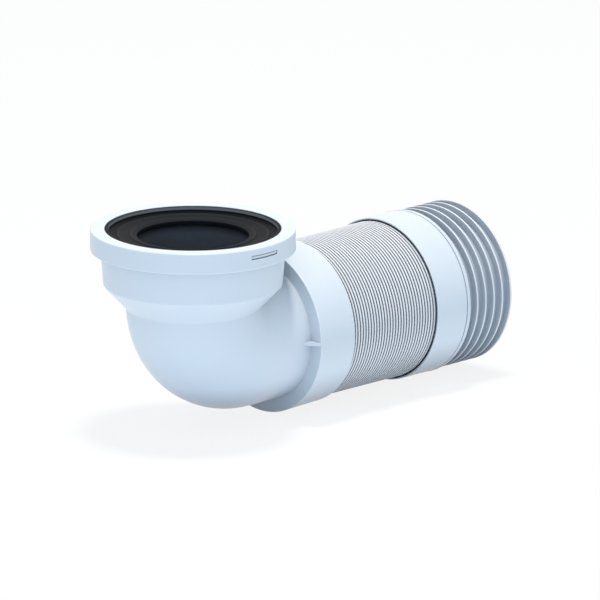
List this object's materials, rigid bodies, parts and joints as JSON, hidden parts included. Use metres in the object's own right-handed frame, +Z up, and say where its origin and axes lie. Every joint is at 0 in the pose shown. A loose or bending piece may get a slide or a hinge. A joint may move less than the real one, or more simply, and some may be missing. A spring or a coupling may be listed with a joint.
{
  "type": "toilet pan connector",
  "caption": "Elbow pan connector with a gasketed inlet cup, a pull-out bellows hose and a finned outlet spigot",
  "frame": {"origin": "middle of the gasket's sealing lip, on the inlet cup's axis", "axes": "+Z up, out of the inlet cup's mouth; +X along the hose towards the outlet end"},
  "size_m": [0.3256, 0.1414, 0.1428],
  "materials": {
    "white_moulding": "smooth moulded polypropylene",
    "white_ring": "smooth moulded polypropylene",
    "black_rubber": "satin moulded rubber",
    "white_hose": "smooth blown thermoplastic",
    "white_spigot": "smooth moulded polypropylene",
    "grey_rubber": "matt moulded thermoplastic rubber"
  },
  "bodies": {
    "elbow": {"elbow_body": "white_moulding", "retaining_ring": "white_ring", "inlet_gasket": "black_rubber", "bellows_hose": "white_hose"},
    "outlet": {"outlet_spigot": "white_spigot", "fin_seal": "grey_rubber"}
  },
  "joints": [
    {"name": "hose_extension", "type": "slide", "parent": "elbow", "child": "outlet", "axis": [1, 0, 0], "range_m": [0, 0.16], "deforming": ["bellows_hose"]}
  ]
}
